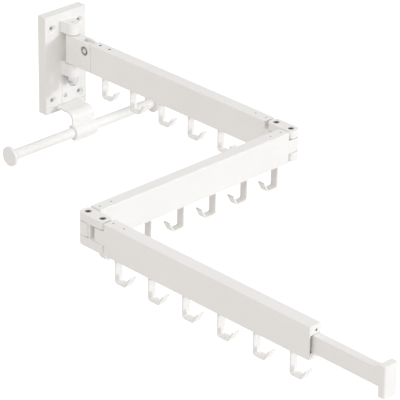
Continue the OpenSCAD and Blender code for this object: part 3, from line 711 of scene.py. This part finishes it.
def set_pins(node):
    body = BODY_OF[node]
    number = int(body[-1])
    low, high = along_arm(number, node)
    diameter = high.y - low.y
    sizes = {
        "Count": 2,
        "First": low.x + diameter / 2,
        "Pitch": high.x - low.x - diameter,
        "Diameter": diameter,
        "Length": high.z - low.z,
        "Top": high.z,
        "Finish": FINISHES[SLOT_OF[node]],
    }
    row = grown(node + "_turned", pins, sizes, arm_place(number))
    wear(row, body, SLOT_OF[node], node)


for node in PINNED_NODES:
    set_pins(node)

# %% [markdown]
# The stage is a plain pale floor well below the rail, as far as a rail hangs above a real floor, in a world
# that lights the rail evenly. The camera should see a white background, so the world and the floor are
# white to camera and mirror rays only, which leaves the light on the object alone.

# %% World and floor
FLOOR_Z = -1.25
FLOOR_SIZE = 16
FLOOR_PAINT = 0.80
FLOOR_GLOW = 0.6
AMBIENT = (0.605, 0.580, 0.560)
MIRROR_RAYS = ("Is Glossy Ray", "Is Transmission Ray")


def white_world():
    world = bpy.data.worlds.new("pale_studio")
    world.use_nodes = True
    tree = world.node_tree
    tree.nodes.clear()
    rays = tree.nodes.new("ShaderNodeLightPath")
    seen = rays.outputs["Is Camera Ray"]
    for kind in MIRROR_RAYS:
        either = tree.nodes.new("ShaderNodeMath")
        either.operation = "MAXIMUM"
        tree.links.new(seen, either.inputs[0])
        tree.links.new(rays.outputs[kind], either.inputs[1])
        seen = either.outputs[0]
    colour = tree.nodes.new("ShaderNodeMix")
    colour.data_type = "RGBA"
    tree.links.new(seen, colour.inputs[0])
    colour.inputs[6].default_value = rgba(*AMBIENT)
    colour.inputs[7].default_value = rgba(1, 1, 1)
    sky = tree.nodes.new("ShaderNodeBackground")
    tree.links.new(colour.outputs[2], sky.inputs["Color"])
    out = tree.nodes.new("ShaderNodeOutputWorld")
    tree.links.new(sky.outputs[0], out.inputs["Surface"])
    bpy.context.scene.world = world


def pale_floor():
    half = FLOOR_SIZE / 2
    mesh = bpy.data.meshes.new("pale_floor")
    corners = [(x * half, y * half, FLOOR_Z) for x, y in ((-1, -1), (1, -1), (1, 1), (-1, 1))]
    mesh.from_pydata(corners, [], [(0, 1, 2, 3)])
    floor = bpy.data.objects.new("pale_floor", mesh)
    bpy.context.collection.objects.link(floor)
    s = Shader("pale_floor_paint")
    seen = s.node("ShaderNodeLightPath", {}, {}, "Is Camera Ray")
    for kind in MIRROR_RAYS:
        ray = s.node("ShaderNodeLightPath", {}, {}, kind)
        seen = s.node("ShaderNodeMath", {"operation": "MAXIMUM"}, {0: seen, 1: ray})
    matt = s.node("ShaderNodeBsdfDiffuse", {}, {"Color": rgba(FLOOR_PAINT, FLOOR_PAINT, FLOOR_PAINT)})
    glow = s.node("ShaderNodeEmission", {}, {"Color": rgba(1, 1, 1), "Strength": FLOOR_GLOW})
    lifted = s.node("ShaderNodeAddShader", {}, {0: matt, 1: glow})
    surface = s.node("ShaderNodeMixShader", {}, {0: seen, 1: matt, 2: lifted})
    s.node("ShaderNodeOutputMaterial", {}, {"Surface": surface})
    mesh.materials.append(s.material)
    return floor


white_world()
pale_floor()
print("floor at", FLOOR_Z)

# %% [markdown]
# A small lamp is far in front, a little to the right and just above the rail, and throws the swivel's
# shadow to the left on the bracket. A very broad lamp at the front right softens that shadow and reaches
# into the hooks. Two more lamps, from high on the left and from above, keep the tubes' sides and tops
# apart. Their tints are slightly blue, as the tops in the photograph are, and the world's light is slightly
# warm.

# %% Lamps
RAIL_MIDDLE = (-0.15, -0.40, 0.0)


def lamp(name, place, size, watts, tint):
    light = bpy.data.lights.new(name, "AREA")
    light.color = tint
    light.shape = "DISK"
    light.size = size
    light.energy = watts
    obj = bpy.data.objects.new(name, light)
    obj.location = place
    obj.rotation_mode = "QUATERNION"
    obj.rotation_quaternion = (Vector(RAIL_MIDDLE) - Vector(place)).to_track_quat("-Z", "Y")
    bpy.context.collection.objects.link(obj)
    return obj


lamp("key_lamp", (1.725, -7.096, 0.804), size=0.5, watts=116, tint=(0.90, 0.955, 1.0))
lamp("front_lamp", (3.08, -6.26, 2.05), size=4.0, watts=80, tint=(0.90, 0.955, 1.0))
lamp("left_lamp", (-4.49, -1.80, 5.32), size=3.0, watts=135, tint=(0.98, 0.99, 1.0))
lamp("top_lamp", (-0.15, -0.40, 3.73), size=2.0, watts=10, tint=(0.64, 0.83, 1.0))
print("lamps ready")
